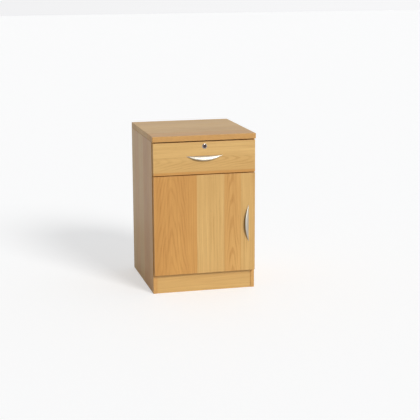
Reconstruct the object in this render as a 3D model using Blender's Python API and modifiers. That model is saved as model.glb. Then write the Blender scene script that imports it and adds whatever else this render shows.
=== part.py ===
"""Bedside cabinet: a laminated board carcass with one lockable drawer above one cupboard door.

Metres, +Z up. The front faces -Y. The origin is on the floor, under the middle of the bounding box.
Run with: blender --background --python part.py
"""

import math

import bmesh
import bpy
from mathutils import Euler, Matrix, Vector

# ---------------------------------------------------------------- driving dimensions
WIDTH = 0.480  # across the top
DEPTH = 0.520  # of the top, front to back
HEIGHT = 0.730
BOARD = 0.018  # carcass, door and drawer front
TOP_BOARD = 0.025
THIN_BOARD = 0.006  # back and drawer bottom
BOX_BOARD = 0.012  # drawer sides and back
FIT = 0.0003  # gap between pieces that touch
TOP_PROUD = 0.0015  # of the top, in front of the door and drawer front
FRONT_GAP = 0.0030  # between the fronts and the carcass
FRONT_INSET = 0.0030  # of the fronts, from the carcass's outer faces
DOOR_BOTTOM = 0.0895
DOOR_TOP = 0.5485
DRAWER_FRONT_BOTTOM = 0.5525
DRAWER_FRONT_TOP = 0.700
PLINTH_SETBACK = 0.0025
ARRIS = 0.0008  # eased board edges
HANDLE_LENGTH = 0.170
HANDLE_WIDTH = 0.0198  # at the middle, from the straight edge to the curved one
HANDLE_REACH = 0.0145  # from the face to the front of the curved edge, at its middle
HANDLE_SHEET = 0.0024
HANDLE_CENTRES = 0.096  # between its screws

# ---------------------------------------------------------------- derived places
OVERALL_DEPTH = DEPTH - TOP_PROUD + HANDLE_REACH
BACK = OVERALL_DEPTH / 2
TOP_FRONT = BACK - DEPTH
FRONT_FACE = TOP_FRONT + TOP_PROUD
FRONT_BACK = FRONT_FACE + BOARD
CARCASS_FRONT = FRONT_BACK + FRONT_GAP
SIDE_OUT = WIDTH / 2
SIDE_IN = SIDE_OUT - BOARD
FRONT_HALF = SIDE_OUT - FRONT_INSET
TOP_UNDER = HEIGHT - TOP_BOARD
BOTTOM_UNDER = DOOR_BOTTOM + 0.001
BOTTOM_TOP = BOTTOM_UNDER + BOARD
DIVIDER_TOP = 0.558
DIVIDER_UNDER = DIVIDER_TOP - BOARD
BACK_PANEL_FRONT = BACK - 0.014 - THIN_BOARD
GROOVE_DEPTH = 0.007
SYSTEM_ROW = 0.037  # from the carcass's front to the front row of holes
SHELF_UNDER = 0.309
SHELF_HALF = SIDE_IN - 0.0025
SHELF_PIN_RADIUS = 0.0025
SHELF_PIN_Z = SHELF_UNDER - FIT - SHELF_PIN_RADIUS
PIN_ROWS = (CARCASS_FRONT + SYSTEM_ROW, BACK_PANEL_FRONT - SYSTEM_ROW - 0.020)

# Drawer and its roller runners; u is the distance inwards from a side panel's inner face.
RUNNER_LENGTH = 0.450
RUNNER_FRONT = CARCASS_FRONT + 0.002
RUNNER_Z = DIVIDER_TOP + 0.004
SHEET = 0.0012
WHEEL_RADIUS = 0.0095
WHEEL_HALF = 0.0025
WHEEL_U = 0.006
AXLE_RADIUS = 0.002
WHEEL_Z = RUNNER_Z + SHEET + FIT + WHEEL_RADIUS
RAIL_U = 0.0109  # drawer runner's upright
DRAWER_SIDE_U = RAIL_U + SHEET + FIT
DRAWER_OUT = SIDE_IN - DRAWER_SIDE_U
DRAWER_IN = DRAWER_OUT - BOX_BOARD
DRAWER_BACK = FRONT_BACK + RUNNER_LENGTH
DRAWER_SIDE_BOTTOM = 0.5735
DRAWER_SIDE_TOP = 0.672
DRAWER_FLOOR = 0.581
FRONT_WHEEL_Y = RUNNER_FRONT + 0.013
REAR_WHEEL_Y = DRAWER_BACK - 0.012

# Lock, in the middle of the drawer front near its top edge.
LOCK_Z = 0.680
LOCK_FLANGE_RADIUS = 0.0115
LOCK_BODY_RADIUS = 0.0080
LOCK_PLUG_RADIUS = 0.0055
LOCK_BODY_END = FRONT_BACK + 0.0037
CAM_FRONT = LOCK_BODY_END + 0.0004
CAM_THICKNESS = 0.002
CAM_LENGTH = 0.020

# Concealed hinges: a cup in the door, a cranked arm on the side panel, one pin between them.
HINGE_HEIGHTS = (0.455, 0.182)
CUP_RADIUS = 0.0175
CUP_X = -FRONT_HALF + 0.0025 + CUP_RADIUS
CUP_DEPTH = 0.0128
PIN_X = -FRONT_HALF + 0.0072
PIN_Y = FRONT_BACK - 0.0085
PIN_RADIUS = 0.0012
KNUCKLE_RADIUS = 0.0025
ARM_SHEET = 0.002
ARM_REACH = 0.013  # from the pin to the arm's long leg

# Handles: the drawer's lies flat, the door's stands upright near the free edge.
DRAWER_HANDLE_Z = 0.6366
DOOR_HANDLE_X = 0.207
DOOR_HANDLE_Z = 0.313
SCREW_RADIUS = 0.00175
SCREW_HOLE = 0.00205


# ---------------------------------------------------------------- scene, materials and helpers
def clear_scene():
    for obj in list(bpy.data.objects):
        bpy.data.objects.remove(obj)


def new_collection(name):
    collection = bpy.data.collections.new(name)
    bpy.context.scene.collection.children.link(collection)
    return collection


def new_material(name, colour, roughness, metallic=0.0):
    material = bpy.data.materials.new(name)
    material.use_nodes = True
    shader = material.node_tree.nodes["Principled BSDF"]
    shader.inputs["Base Color"].default_value = (*colour, 1.0)
    shader.inputs["Roughness"].default_value = roughness
    shader.inputs["Metallic"].default_value = metallic
    return material


clear_scene()
PARTS = new_collection("bedside_cabinet")
CUTTERS = new_collection("cutters")
WOOD = new_material("oak_laminate", (0.60, 0.37, 0.15), 0.45)
PALE_BOARD = new_material("pale_board", (0.62, 0.45, 0.26), 0.55)
NICKEL = new_material("satin_nickel", (0.66, 0.63, 0.58), 0.32, 1.0)
STEEL = new_material("zinc_steel", (0.62, 0.62, 0.62), 0.38, 1.0)
ENAMEL = new_material("enamelled_steel", (0.80, 0.79, 0.75), 0.40)
NYLON = new_material("white_nylon", (0.78, 0.77, 0.73), 0.50)
DARK_PLASTIC = new_material("dark_plastic", (0.03, 0.03, 0.03), 0.50)


def new_empty(name, place, parent=None):
    """A frame that pieces are parented to, on its joint's axis where the pieces move."""
    empty = bpy.data.objects.new(name, None)
    empty.empty_display_size = 0.03
    empty.location = Vector(place) - (parent["place"] if parent else Vector())
    PARTS.objects.link(empty)
    if parent:
        empty.parent = parent["empty"]
    return {"empty": empty, "place": Vector(place)}


def add_part(name, mesh, place, frame, material, turn=(0.0, 0.0, 0.0)):
    """A named piece at a world place, parented to its frame."""
    part = bpy.data.objects.new(name, mesh)
    part.data.materials.append(material)
    part.location = Vector(place) - frame["place"]
    part.rotation_euler = turn
    part.parent = frame["empty"]
    PARTS.objects.link(part)
    return part


def box_mesh(size):
    bm = bmesh.new()
    bmesh.ops.create_cube(bm, size=1.0)
    bmesh.ops.scale(bm, vec=size, verts=bm.verts)
    mesh = bpy.data.meshes.new("box")
    bm.to_mesh(mesh)
    bm.free()
    return mesh


def rod_mesh(radius, length, sides=24):
    """A cylinder about local Z."""
    bm = bmesh.new()
    bmesh.ops.create_cone(
        bm, cap_ends=True, segments=sides, radius1=radius, radius2=radius, depth=length
    )
    mesh = bpy.data.meshes.new("rod")
    bm.to_mesh(mesh)
    bm.free()
    smooth(mesh)
    return mesh


def smooth(mesh):
    mesh.shade_smooth()
    mesh.set_sharp_from_angle(angle=math.radians(35))


def turned_mesh(profile, sides=32):
    """A solid of revolution about local Z; the profile is (radius, z) from its top to its bottom."""
    bm = bmesh.new()
    corners = [bm.verts.new((radius, 0.0, z)) for radius, z in profile]
    for first, second in zip(corners, corners[1:]):
        bm.edges.new((first, second))
    mesh = bpy.data.meshes.new("profile")
    bm.to_mesh(mesh)
    bm.free()
    spun = bpy.data.objects.new("spun_profile", mesh)
    bpy.context.scene.collection.objects.link(spun)
    screw = spun.modifiers.new("Screw", "SCREW")
    screw.steps = sides
    screw.render_steps = sides
    screw.use_merge_vertices = True
    screw.merge_threshold = 0.00001
    return baked(spun)


def baked(temporary):
    """The evaluated mesh of a temporary object, welded, and the object removed."""
    bpy.context.view_layer.update()
    graph = bpy.context.evaluated_depsgraph_get()
    mesh = bpy.data.meshes.new_from_object(temporary.evaluated_get(graph))
    bpy.data.objects.remove(temporary)
    bm = bmesh.new()
    bm.from_mesh(mesh)
    bmesh.ops.remove_doubles(bm, verts=bm.verts, dist=0.000002)
    bmesh.ops.recalc_face_normals(bm, faces=bm.faces)
    bm.to_mesh(mesh)
    bm.free()
    smooth(mesh)
    return mesh


def outline_mesh(points, thickness):
    """A flat outline in local XY, thickened evenly along local Z."""
    bm = bmesh.new()
    half = thickness / 2
    lower = [bm.verts.new((x, y, -half)) for x, y in points]
    upper = [bm.verts.new((x, y, half)) for x, y in points]
    bm.faces.new(lower)
    bm.faces.new(upper)
    for i in range(len(points)):
        j = (i + 1) % len(points)
        bm.faces.new((lower[i], lower[j], upper[j], upper[i]))
    bmesh.ops.recalc_face_normals(bm, faces=bm.faces)
    mesh = bpy.data.meshes.new("outline")
    bm.to_mesh(mesh)
    bm.free()
    smooth(mesh)
    return mesh


def arc(centre, radius, start, end, steps):
    """Points on an arc, with angles in degrees."""
    angles = [math.radians(start + (end - start) * i / steps) for i in range(steps + 1)]
    return [
        (centre[0] + radius * math.cos(a), centre[1] + radius * math.sin(a)) for a in angles
    ]


def rounded_rectangle(half_x, half_y, radius, steps=4):
    points = []
    for sign_x, sign_y, start in ((1, 1, 0), (-1, 1, 90), (-1, -1, 180), (1, -1, 270)):
        centre = (sign_x * (half_x - radius), sign_y * (half_y - radius))
        points += arc(centre, radius, start, start + 90, steps)
    return points


ALONG_X = (0.0, math.radians(90), 0.0)  # turns a rod's local Z to X
ALONG_Y = (math.radians(90), 0.0, 0.0)  # to -Y, and an outline's XY to the XZ plane
IN_YZ = (math.radians(90), 0.0, math.radians(90))  # an outline's XY to the YZ plane


def board(name, low, high, frame, material=None, edge=ARRIS, segments=1):
    """A board between two corners, with eased edges."""
    low, high = Vector(low), Vector(high)
    part = add_part(name, box_mesh(high - low), (low + high) / 2, frame, material or WOOD)
    bevel = part.modifiers.new("Eased edges", "BEVEL")
    bevel.width = edge
    bevel.segments = segments
    return part


def cutter_object(mesh, place, turn=(0.0, 0.0, 0.0)):
    cutter = bpy.data.objects.new("cutter", mesh)
    cutter.location = place
    cutter.rotation_euler = turn
    cutter.hide_render = True
    cutter.display_type = "WIRE"
    CUTTERS.objects.link(cutter)
    return cutter


def combine(part, mesh, place, turn=(0.0, 0.0, 0.0), operation="DIFFERENCE"):
    """Cuts a mesh at a world place from a part, or joins it on."""
    boolean = part.modifiers.new(operation.title(), "BOOLEAN")
    boolean.operation = operation
    boolean.solver = "EXACT"
    boolean.object = cutter_object(mesh, place, turn)
    return part


def cut_holes(part, radius, depth, centres, turn, sides=12):
    """Cuts equal holes, each centred on its place, with one cutter."""
    bm = bmesh.new()
    for centre in centres:
        matrix = Matrix.Translation(centre) @ Matrix.Rotation(math.radians(90), 4, turn)
        bmesh.ops.create_cone(
            bm,
            cap_ends=True,
            segments=sides,
            radius1=radius,
            radius2=radius,
            depth=depth,
            matrix=matrix,
        )
    mesh = bpy.data.meshes.new("holes")
    bm.to_mesh(mesh)
    bm.free()
    return combine(part, mesh, (0.0, 0.0, 0.0))


def cut_box(part, low, high):
    low, high = Vector(low), Vector(high)
    return combine(part, box_mesh(high - low), (low + high) / 2)


# ---------------------------------------------------------------- carcass
def make_side_panel(side, frame):
    """side is -1 for the left and 1 for the right, seen from the front."""
    name = "side_panel_left" if side < 0 else "side_panel_right"
    xs = sorted((side * SIDE_IN, side * SIDE_OUT))
    panel = board(
        name,
        (xs[0], CARCASS_FRONT, 0.0),
        (xs[1], BACK, TOP_UNDER - FIT),
        frame,
        segments=2,
    )
    groove = sorted((side * (SIDE_IN - 0.001), side * (SIDE_IN + GROOVE_DEPTH)))
    cut_box(
        panel,
        (groove[0], BACK_PANEL_FRONT - FIT, BOTTOM_UNDER),
        (groove[1], BACK_PANEL_FRONT + THIN_BOARD + FIT, HEIGHT),
    )
    hole_depth = 0.009
    heights = [SHELF_PIN_Z + 0.032 * step for step in range(-2, 3)]
    centres = [(side * SIDE_IN, y, z) for y in PIN_ROWS for z in heights]
    cut_holes(panel, SHELF_PIN_RADIUS + FIT, 2 * hole_depth, centres, "Y")
    return panel


def make_carcass(frame):
    for side in (-1, 1):
        make_side_panel(side, frame)
    board(
        "top_panel",
        (-WIDTH / 2, TOP_FRONT, TOP_UNDER),
        (WIDTH / 2, BACK, HEIGHT),
        frame,
        edge=0.0018,
        segments=3,
    )
    across = SIDE_IN - FIT
    inner_back = BACK_PANEL_FRONT - FIT
    board(
        "bottom_panel",
        (-across, CARCASS_FRONT, BOTTOM_UNDER),
        (across, inner_back, BOTTOM_TOP),
        frame,
    )
    board(
        "divider_panel",
        (-across, CARCASS_FRONT, DIVIDER_UNDER),
        (across, inner_back, DIVIDER_TOP),
        frame,
    )
    plinth_top = BOTTOM_UNDER - FIT
    plinth_front = CARCASS_FRONT + PLINTH_SETBACK
    board(
        "plinth_front",
        (-across, plinth_front, 0.0),
        (across, plinth_front + BOARD, plinth_top),
        frame,
        segments=2,
    )
    board(
        "plinth_rear",
        (-across, inner_back - 0.040 - BOARD, 0.0),
        (across, inner_back - 0.040, plinth_top),
        frame,
    )
    in_groove = SIDE_IN + GROOVE_DEPTH - FIT
    board(
        "back_panel",
        (-in_groove, BACK_PANEL_FRONT, BOTTOM_UNDER + FIT),
        (in_groove, BACK_PANEL_FRONT + THIN_BOARD, TOP_UNDER - FIT),
        frame,
        PALE_BOARD,
        edge=0.0004,
    )


def make_shelf(frame):
    board(
        "shelf",
        (-SHELF_HALF, CARCASS_FRONT + 0.020, SHELF_UNDER),
        (SHELF_HALF, BACK_PANEL_FRONT - 0.002, SHELF_UNDER + BOARD),
        frame,
    )
    # Along local Z: in the hole, a thin collar on the panel's face, then the peg under the shelf.
    collar = 0.0042
    profile = [(0, 0.0095), (0.0020, 0.0095), (SHELF_PIN_RADIUS, 0.0090), (SHELF_PIN_RADIUS, 0.0015)]
    profile += [(collar, 0.0015), (collar, FIT), (SHELF_PIN_RADIUS, FIT)]
    profile += [(SHELF_PIN_RADIUS, -0.0075), (0.0020, -0.0080), (0, -0.0080)]
    for side, word_x in ((-1, "left"), (1, "right")):
        for y, word_y in zip(PIN_ROWS, ("front", "rear")):
            add_part(
                f"shelf_pin_{word_y}_{word_x}",
                turned_mesh(profile, 16),
                (side * SIDE_IN, y, SHELF_PIN_Z),
                frame,
                STEEL,
                turn=(0.0, math.radians(-90 * side), 0.0),
            )


# ---------------------------------------------------------------- hinges, bumpers and lock strike
def make_hinge_on_carcass(height, word, frame):
    """The mounting plate and the cranked arm, both fixed to the side; the door's cup turns about its pin."""
    leg = PIN_X + ARM_REACH
    plate_thickness = leg - ARM_SHEET / 2 - FIT - (-SIDE_IN + FIT)
    plate_y = CARCASS_FRONT + SYSTEM_ROW
    wing, spine = 0.0085, 0.0065
    plate = [(0.021, -spine), (0.021, spine), (wing, spine), (wing, 0.022)]
    plate += [(-wing, 0.022), (-wing, spine), (-0.021, spine), (-0.021, -spine)]
    plate += [(-wing, -spine), (-wing, -0.022), (wing, -0.022), (wing, -spine)]
    part = add_part(
        f"hinge_plate_{word}",
        outline_mesh(plate, plate_thickness),
        (-SIDE_IN + FIT + plate_thickness / 2, plate_y, height),
        frame,
        STEEL,
        turn=IN_YZ,
    )
    screws = [(-SIDE_IN, plate_y, height + offset) for offset in (-0.016, 0.016)]
    cut_holes(part, 0.0024, 0.020, screws, "Y")

    half = ARM_SHEET / 2
    rear = plate_y + 0.021
    path = arc((PIN_X, PIN_Y), KNUCKLE_RADIUS, 24, 336, 14)
    path += [(leg + half - 0.001, PIN_Y - half), (leg + half, PIN_Y - half + 0.001)]
    path += [(leg + half, rear), (leg - half, rear), (leg - half, PIN_Y + half)]
    arm = add_part(
        f"hinge_arm_{word}", outline_mesh(path, 0.009), (0.0, 0.0, height), frame, STEEL
    )
    cap_front = plate_y - 0.018
    cap = Vector((0.0036, rear - cap_front, 0.015))
    combine(arm, box_mesh(cap), (leg - half + cap.x / 2, (rear + cap_front) / 2, height), operation="UNION")
    combine(arm, rod_mesh(PIN_RADIUS + FIT, 0.020, 16), (PIN_X, PIN_Y, height))
    cut_holes(arm, 0.0022, 0.020, [(leg, plate_y + offset, height) for offset in (-0.008, 0.009)], "Y")
    return arm


def make_hinge_on_door(height, word, frame):
    """The cup with its screw wings, and the pin that the arm's knuckle turns on."""
    cup_mesh = rod_mesh(CUP_RADIUS - FIT, CUP_DEPTH, 40)
    mouth = FRONT_BACK + FIT
    cup = add_part(
        f"hinge_cup_{word}", cup_mesh, (CUP_X, mouth - CUP_DEPTH / 2, height), frame, STEEL, turn=ALONG_Y
    )
    flange = outline_mesh(rounded_rectangle(0.011, 0.029, 0.005), 0.0014)
    combine(cup, flange, (CUP_X + 0.004, mouth + 0.0005, height), ALONG_Y, "UNION")
    pocket_left = PIN_X - KNUCKLE_RADIUS - 0.0005
    pocket_depth = PIN_Y - KNUCKLE_RADIUS - 0.0005
    cut_box(
        cup,
        (pocket_left, pocket_depth, height - 0.006),
        (CUP_X + 0.0135, mouth + 0.005, height + 0.006),
    )
    combine(cup, rod_mesh(PIN_RADIUS + FIT, 0.0166, 16), (PIN_X, PIN_Y, height))
    screws = [(CUP_X + 0.0095, mouth, height + offset) for offset in (-0.024, 0.024)]
    cut_holes(cup, 0.0018, 0.010, screws, "X")
    add_part(f"hinge_pin_{word}", rod_mesh(PIN_RADIUS, 0.0158, 16), (PIN_X, PIN_Y, height), frame, STEEL)


def make_bumpers(frame):
    """Rubber pads on the door's back, near its free edge."""
    profile = [(0, 0.0026), (0.0030, 0.0026), (0.0040, 0.0016), (0.0040, FIT), (0, FIT)]
    for height, word in ((DOOR_TOP - 0.0045, "upper"), (DOOR_BOTTOM + 0.0095, "lower")):
        place = (SIDE_IN - 0.020, FRONT_BACK, height)
        add_part(
            f"door_bumper_{word}",
            turned_mesh(profile, 20),
            place,
            frame,
            DARK_PLASTIC,
            turn=(math.radians(-90), 0.0, 0.0),
        )


def make_lock_strike(frame):
    """The steel angle under the top that the lock's cam rises behind."""
    sheet = 0.0015
    top = TOP_UNDER - FIT
    front = CAM_FRONT - 0.0010 - sheet
    low = LOCK_Z + 0.0113
    leg = 0.024
    outline = [(front, low), (front + sheet, low), (front + sheet, top - sheet)]
    outline += [(front + leg, top - sheet), (front + leg, top), (front, top)]
    part = add_part("lock_strike", outline_mesh(outline, 0.030), (0.0, 0.0, 0.0), frame, STEEL, turn=IN_YZ)
    screws = [(sign * 0.009, front + 0.015, top) for sign in (-1, 1)]
    for place in screws:
        combine(part, rod_mesh(0.0018, 0.010, 12), place)
    return part


# ---------------------------------------------------------------- handles
def curved_edge(along):
    """Distance from the straight edge to the curved one there: a circular arc over the length."""
    half = HANDLE_LENGTH / 2
    radius = (half * half + HANDLE_WIDTH * HANDLE_WIDTH) / (2 * HANDLE_WIDTH)
    return max(math.sqrt(radius * radius - along * along) - (radius - HANDLE_WIDTH), 0.0018)


def handle_section(along, steps=7):
    """The shell's cross-section as (across, out) points. It leaves the face at the straight edge, at 0,
    and turns until it faces forwards at the curved edge, with an open gap behind that edge."""
    width = curved_edge(along)
    reach = HANDLE_REACH * (width / HANDLE_WIDTH) ** 0.9
    sheet = min(HANDLE_SHEET, 0.42 * min(width, reach))
    turns = [math.radians(90 * k / steps) for k in range(steps + 1)]
    lip = width - 0.3 * sheet
    outer = [(lip * (1 - math.cos(a)), FIT + (reach - FIT) * math.sin(a)) for a in turns]
    edge = [(width, reach - 0.3 * sheet), (width, reach - 0.7 * sheet)]
    depth = reach - sheet - FIT
    inner = [(sheet + (lip - sheet) * (1 - math.cos(a)), FIT + depth * math.sin(a)) for a in turns]
    return outer + edge + inner[::-1]


def handle_mesh(sections=28):
    """The shell, lofted along local X; local Y runs across, local Z stands out from the face."""
    bm = bmesh.new()
    half = HANDLE_LENGTH / 2
    rings = []
    for i in range(sections + 1):
        along = -half * math.cos(math.pi * i / sections)
        rings.append([bm.verts.new((along, y, z)) for y, z in handle_section(along)])
    for first, second in zip(rings, rings[1:]):
        for k in range(len(first)):
            nxt = (k + 1) % len(first)
            bm.faces.new((first[k], first[nxt], second[nxt], second[k]))
    bm.faces.new(rings[0])
    bm.faces.new(reversed(rings[-1]))
    bmesh.ops.recalc_face_normals(bm, faces=bm.faces)
    mesh = bpy.data.meshes.new("handle")
    bm.to_mesh(mesh)
    bm.free()
    smooth(mesh)
    return mesh


def make_handle(name, place, turn, frame, screw_names):
    """A shell with two threaded posts, and its screws through the panel behind it."""
    handle = add_part(name, handle_mesh(), place, frame, NICKEL, turn)
    rotation = Matrix.LocRotScale(Vector(place), Euler(turn), None)
    across = 0.58 * curved_edge(HANDLE_CENTRES / 2)
    post_length = 0.0072 - FIT
    places = []
    for sign in (-1, 1):
        foot = rotation @ Vector((sign * HANDLE_CENTRES / 2, across, 0.0))
        post = rotation @ Vector((sign * HANDLE_CENTRES / 2, across, FIT + post_length / 2))
        places.append(foot)
        combine(handle, rod_mesh(0.0030, post_length, 20), post, ALONG_Y, "UNION")
        combine(handle, rod_mesh(SCREW_HOLE, 2 * 0.0055, 12), foot, ALONG_Y)
    shank_end = FRONT_FACE - 0.0050
    head = 0.0022
    head_face = FRONT_BACK + FIT
    top = head_face + head
    profile = [(0, top), (0.0030, top), (0.0038, top - 0.0008), (0.0038, head_face)]
    profile += [(SCREW_RADIUS, head_face), (SCREW_RADIUS, shank_end), (0, shank_end)]
    for screw_name, foot in zip(screw_names, places):
        add_part(
            screw_name,
            turned_mesh(profile, 16),
            (foot.x, 0.0, foot.z),
            frame,
            STEEL,
            turn=(math.radians(-90), 0.0, 0.0),
        )
    return places


# ---------------------------------------------------------------- drawer
def runner_outline_cabinet(side):
    """Channel on the side panel: an upright with a long lower lip and a short upper lip."""
    low, high = RUNNER_Z, RUNNER_Z + 0.0242
    near, far_low, far_high = FIT, 0.0106, 0.0092
    outline = [(near, low), (far_low, low), (far_low, low + SHEET), (near + SHEET, low + SHEET)]
    outline += [(near + SHEET, high - SHEET), (far_high, high - SHEET), (far_high, high), (near, high)]
    return [(side * (SIDE_IN - u), z) for u, z in outline]


def runner_outline_drawer(side):
    """Rail on the drawer: a ledge under its side, an upright, and a lip that rides the front wheel."""
    ledge_top = DRAWER_SIDE_BOTTOM - FIT
    lip = WHEEL_Z + WHEEL_RADIUS + FIT
    inner = DRAWER_SIDE_U + BOX_BOARD
    outline = [(RAIL_U, ledge_top - SHEET), (inner, ledge_top - SHEET), (inner, ledge_top)]
    outline += [(RAIL_U + SHEET, ledge_top), (RAIL_U + SHEET, lip + SHEET), (0.003, lip + SHEET)]
    outline += [(0.003, lip), (RAIL_U, lip)]
    return [(side * (SIDE_IN - u), z) for u, z in outline]


def make_runner_parts(side, word, cabinet, drawer):
    """One side's runner: two steel rails, two wheels and their axles."""
    middle = RUNNER_FRONT + RUNNER_LENGTH / 2
    channel = add_part(
        f"runner_cabinet_{word}",
        outline_mesh(runner_outline_cabinet(side), RUNNER_LENGTH),
        (0.0, middle, 0.0),
        cabinet,
        ENAMEL,
        turn=ALONG_Y,
    )
    combine(
        channel, rod_mesh(AXLE_RADIUS + FIT, 0.006, 16), (side * SIDE_IN, FRONT_WHEEL_Y, WHEEL_Z), ALONG_X
    )
    rail_low, rail_high = FRONT_BACK + FIT, DRAWER_BACK
    rail = add_part(
        f"runner_drawer_{word}",
        outline_mesh(runner_outline_drawer(side), rail_high - rail_low),
        (0.0, (rail_low + rail_high) / 2, 0.0),
        drawer,
        ENAMEL,
        turn=ALONG_Y,
    )
    upright = side * (SIDE_IN - RAIL_U - SHEET / 2)
    combine(
        rail, rod_mesh(AXLE_RADIUS + FIT, 0.004, 16), (upright, REAR_WHEEL_Y, WHEEL_Z), ALONG_X
    )
    make_wheel(f"runner_wheel_front_{word}", side, FRONT_WHEEL_Y, cabinet)
    make_wheel(f"runner_wheel_rear_{word}", side, REAR_WHEEL_Y, drawer)
    outer, inner = WHEEL_U - WHEEL_HALF - FIT, WHEEL_U + WHEEL_HALF + FIT
    make_axle(f"runner_axle_front_{word}", side, FRONT_WHEEL_Y, (0.0005, inner, inner + 0.001), cabinet)
    make_axle(f"runner_axle_rear_{word}", side, REAR_WHEEL_Y, (RAIL_U + SHEET, outer, outer - 0.001), drawer)


def make_wheel(name, side, y, parent):
    """A roller on its own axis."""
    place = (side * (SIDE_IN - WHEEL_U), y, WHEEL_Z)
    frame = new_empty(f"{name}_axis", place, parent)
    rim, bore, half = WHEEL_RADIUS, AXLE_RADIUS + FIT, WHEEL_HALF
    profile = [(bore, half), (0.0045, half), (0.0052, 0.6 * half), (rim - 0.0018, 0.6 * half)]
    profile += [(rim - 0.0012, half), (rim - 0.0004, half), (rim, half - 0.0004)]
    profile += [(rim, -half + 0.0004), (rim - 0.0004, -half), (bore, -half), (bore, half)]
    add_part(name, turned_mesh(profile, 32), place, frame, NYLON, turn=ALONG_X)


def make_axle(name, side, y, stations, frame):
    """A rivet: stations are where its shank ends, where its head starts and where its head ends."""
    end, head, cap = stations
    sense = 1 if cap > head else -1
    profile = [(0, sense * cap), (0.0034, sense * cap), (0.0040, sense * cap - 0.0004)]
    profile += [(0.0040, sense * head), (AXLE_RADIUS, sense * head)]
    profile += [(AXLE_RADIUS, sense * end), (0, sense * end)]
    turn = (0.0, math.radians(-90 * side * sense), 0.0)
    add_part(name, turned_mesh(profile, 16), (side * SIDE_IN, y, WHEEL_Z), frame, STEEL, turn=turn)


def make_drawer_box(frame):
    front = board(
        "drawer_front",
        (-FRONT_HALF, FRONT_FACE, DRAWER_FRONT_BOTTOM),
        (FRONT_HALF, FRONT_BACK, DRAWER_FRONT_TOP),
        frame,
        segments=2,
    )
    combine(front, rod_mesh(LOCK_BODY_RADIUS + FIT, 0.040, 32), (0.0, FRONT_FACE, LOCK_Z), ALONG_Y)
    groove = 0.006
    for side, word in ((-1, "left"), (1, "right")):
        xs = sorted((side * DRAWER_IN, side * DRAWER_OUT))
        wall = board(
            f"drawer_side_{word}",
            (xs[0], FRONT_BACK + FIT, DRAWER_SIDE_BOTTOM),
            (xs[1], DRAWER_BACK, DRAWER_SIDE_TOP),
            frame,
            PALE_BOARD,
            edge=0.0006,
        )
        slot = sorted((side * (DRAWER_IN - 0.001), side * (DRAWER_IN + groove)))
        cut_box(
            wall,
            (slot[0], FRONT_FACE, DRAWER_FLOOR - FIT),
            (slot[1], BACK, DRAWER_FLOOR + THIN_BOARD + FIT),
        )
    in_slot = DRAWER_IN + groove - FIT
    board(
        "drawer_bottom",
        (-in_slot, FRONT_BACK + FIT, DRAWER_FLOOR),
        (in_slot, DRAWER_BACK, DRAWER_FLOOR + THIN_BOARD),
        frame,
        PALE_BOARD,
        edge=0.0004,
    )
    board(
        "drawer_back",
        (-DRAWER_IN + FIT, DRAWER_BACK - BOX_BOARD, DRAWER_FLOOR + THIN_BOARD + FIT),
        (DRAWER_IN - FIT, DRAWER_BACK, DRAWER_SIDE_TOP),
        frame,
        PALE_BOARD,
        edge=0.0006,
    )
    return front


def make_lock(drawer):
    """A cam lock: housing and nut on the drawer front, and a plug that turns the cam."""
    face = FRONT_FACE - FIT
    flange = 0.0016
    bore = LOCK_PLUG_RADIUS + FIT
    body_length = LOCK_BODY_END - face
    profile = [(bore, flange), (LOCK_FLANGE_RADIUS - 0.0012, flange), (LOCK_FLANGE_RADIUS, flange - 0.0009)]
    profile += [(LOCK_FLANGE_RADIUS, 0.0), (LOCK_BODY_RADIUS, 0.0)]
    profile += [(LOCK_BODY_RADIUS, -body_length), (bore, -body_length), (bore, flange)]
    add_part("lock_housing", turned_mesh(profile, 40), (0.0, face, LOCK_Z), drawer, NICKEL, turn=ALONG_Y)

    turns = [math.radians(60 * k) for k in range(6)]
    nut = [(0.0108 * math.cos(a), 0.0108 * math.sin(a)) for a in turns]
    nut_thickness = 0.0027
    nut_part = add_part(
        "lock_nut",
        outline_mesh(nut, nut_thickness),
        (0.0, FRONT_BACK + FIT + nut_thickness / 2, LOCK_Z),
        drawer,
        STEEL,
        turn=ALONG_Y,
    )
    combine(nut_part, rod_mesh(LOCK_BODY_RADIUS + FIT, 0.010, 32), (0.0, FRONT_BACK, LOCK_Z), ALONG_Y)

    frame = new_empty("lock_axis", (0.0, FRONT_FACE, LOCK_Z), drawer)
    plug_front = face - flange + 0.0002
    plug_end = CAM_FRONT - 0.0003
    plug_length = plug_end - plug_front
    plug = add_part(
        "lock_plug",
        rod_mesh(LOCK_PLUG_RADIUS, plug_length, 32),
        (0.0, (plug_front + plug_end) / 2, LOCK_Z),
        frame,
        NICKEL,
        turn=ALONG_Y,
    )
    square = Vector((0.006, CAM_THICKNESS + 0.0008, 0.006))
    combine(plug, box_mesh(square), (0.0, plug_end + square.y / 2 - 0.0005, LOCK_Z), operation="UNION")
    slot_low = (-0.0010, plug_front - 0.001, LOCK_Z - 0.0035)
    slot_high = (0.0010, plug_front + 0.014, LOCK_Z + 0.0035)
    cut_box(plug, slot_low, slot_high)

    outline = arc((0.0, 0.0), 0.0075, -143, 143, 18) + [(-CAM_LENGTH, 0.0045), (-CAM_LENGTH, -0.0045)]
    cam = add_part(
        "lock_cam",
        outline_mesh(outline, CAM_THICKNESS),
        (0.0, CAM_FRONT + CAM_THICKNESS / 2, LOCK_Z),
        frame,
        STEEL,
        turn=ALONG_Y,
    )
    cut_box(cam, (-0.0033, CAM_FRONT - 0.002, LOCK_Z - 0.0033), (0.0033, CAM_FRONT + 0.006, LOCK_Z + 0.0033))
    head = plug_end + square.y - 0.0005 + FIT
    screw_place = (0.0, head + 0.0009, LOCK_Z)
    add_part("lock_cam_screw", rod_mesh(0.0045, 0.0018, 20), screw_place, frame, STEEL, turn=ALONG_Y)


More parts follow.
